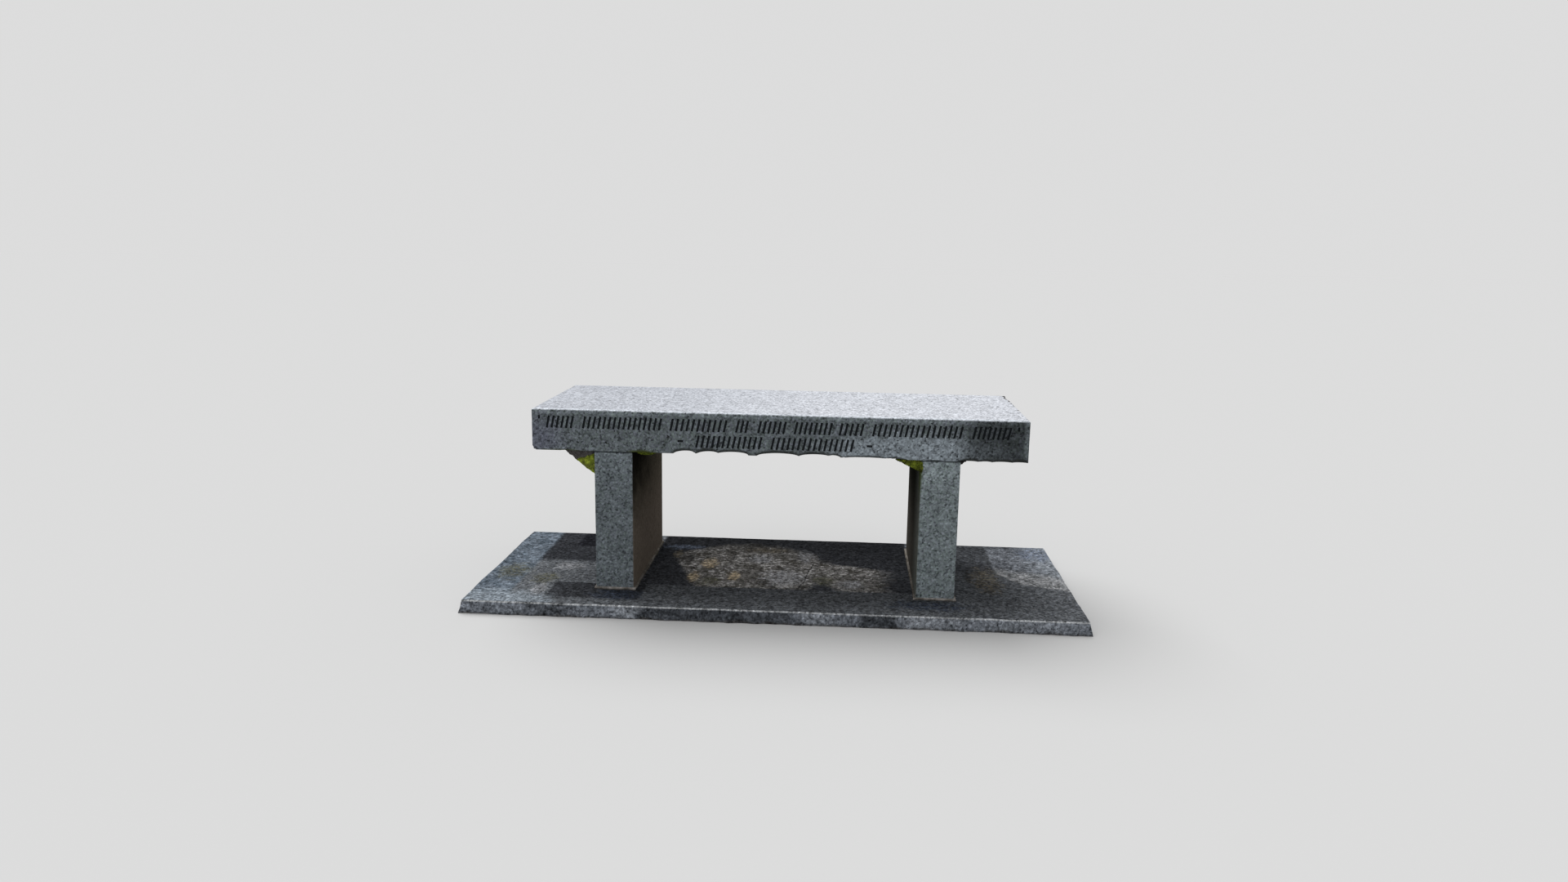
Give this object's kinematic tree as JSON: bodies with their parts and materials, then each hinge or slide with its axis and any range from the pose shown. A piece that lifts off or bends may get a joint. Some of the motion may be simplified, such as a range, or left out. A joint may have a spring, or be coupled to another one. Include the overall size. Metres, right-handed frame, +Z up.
{
  "type": "memorial bench",
  "caption": "Granite memorial bench: an inscribed seat slab on upright leg slabs, bedded in mortar on a rough-edged base slab.",
  "frame": {"origin": "the middle of the base slab's flat underside, at ground level", "axes": "+X along the bench to the right as the inscription is faced, +Y from the inscribed front towards the back, +Z up"},
  "size_m": [1.535, 0.633, 0.491],
  "materials": {
    "honed_granite": "steeled top and inscribed face",
    "sawn_granite": "sawn, weathered",
    "weathered_granite": "weathered top, pitched edges",
    "mortar": "rough lime-cement mortar"
  },
  "bodies": {
    "root": {"base_slab": "weathered_granite", "left_mortar_bed": "mortar", "right_mortar_bed": "mortar", "left_leg": "sawn_granite", "right_leg": "sawn_granite", "seat_slab": "honed_granite"}
  },
  "joints": []
}
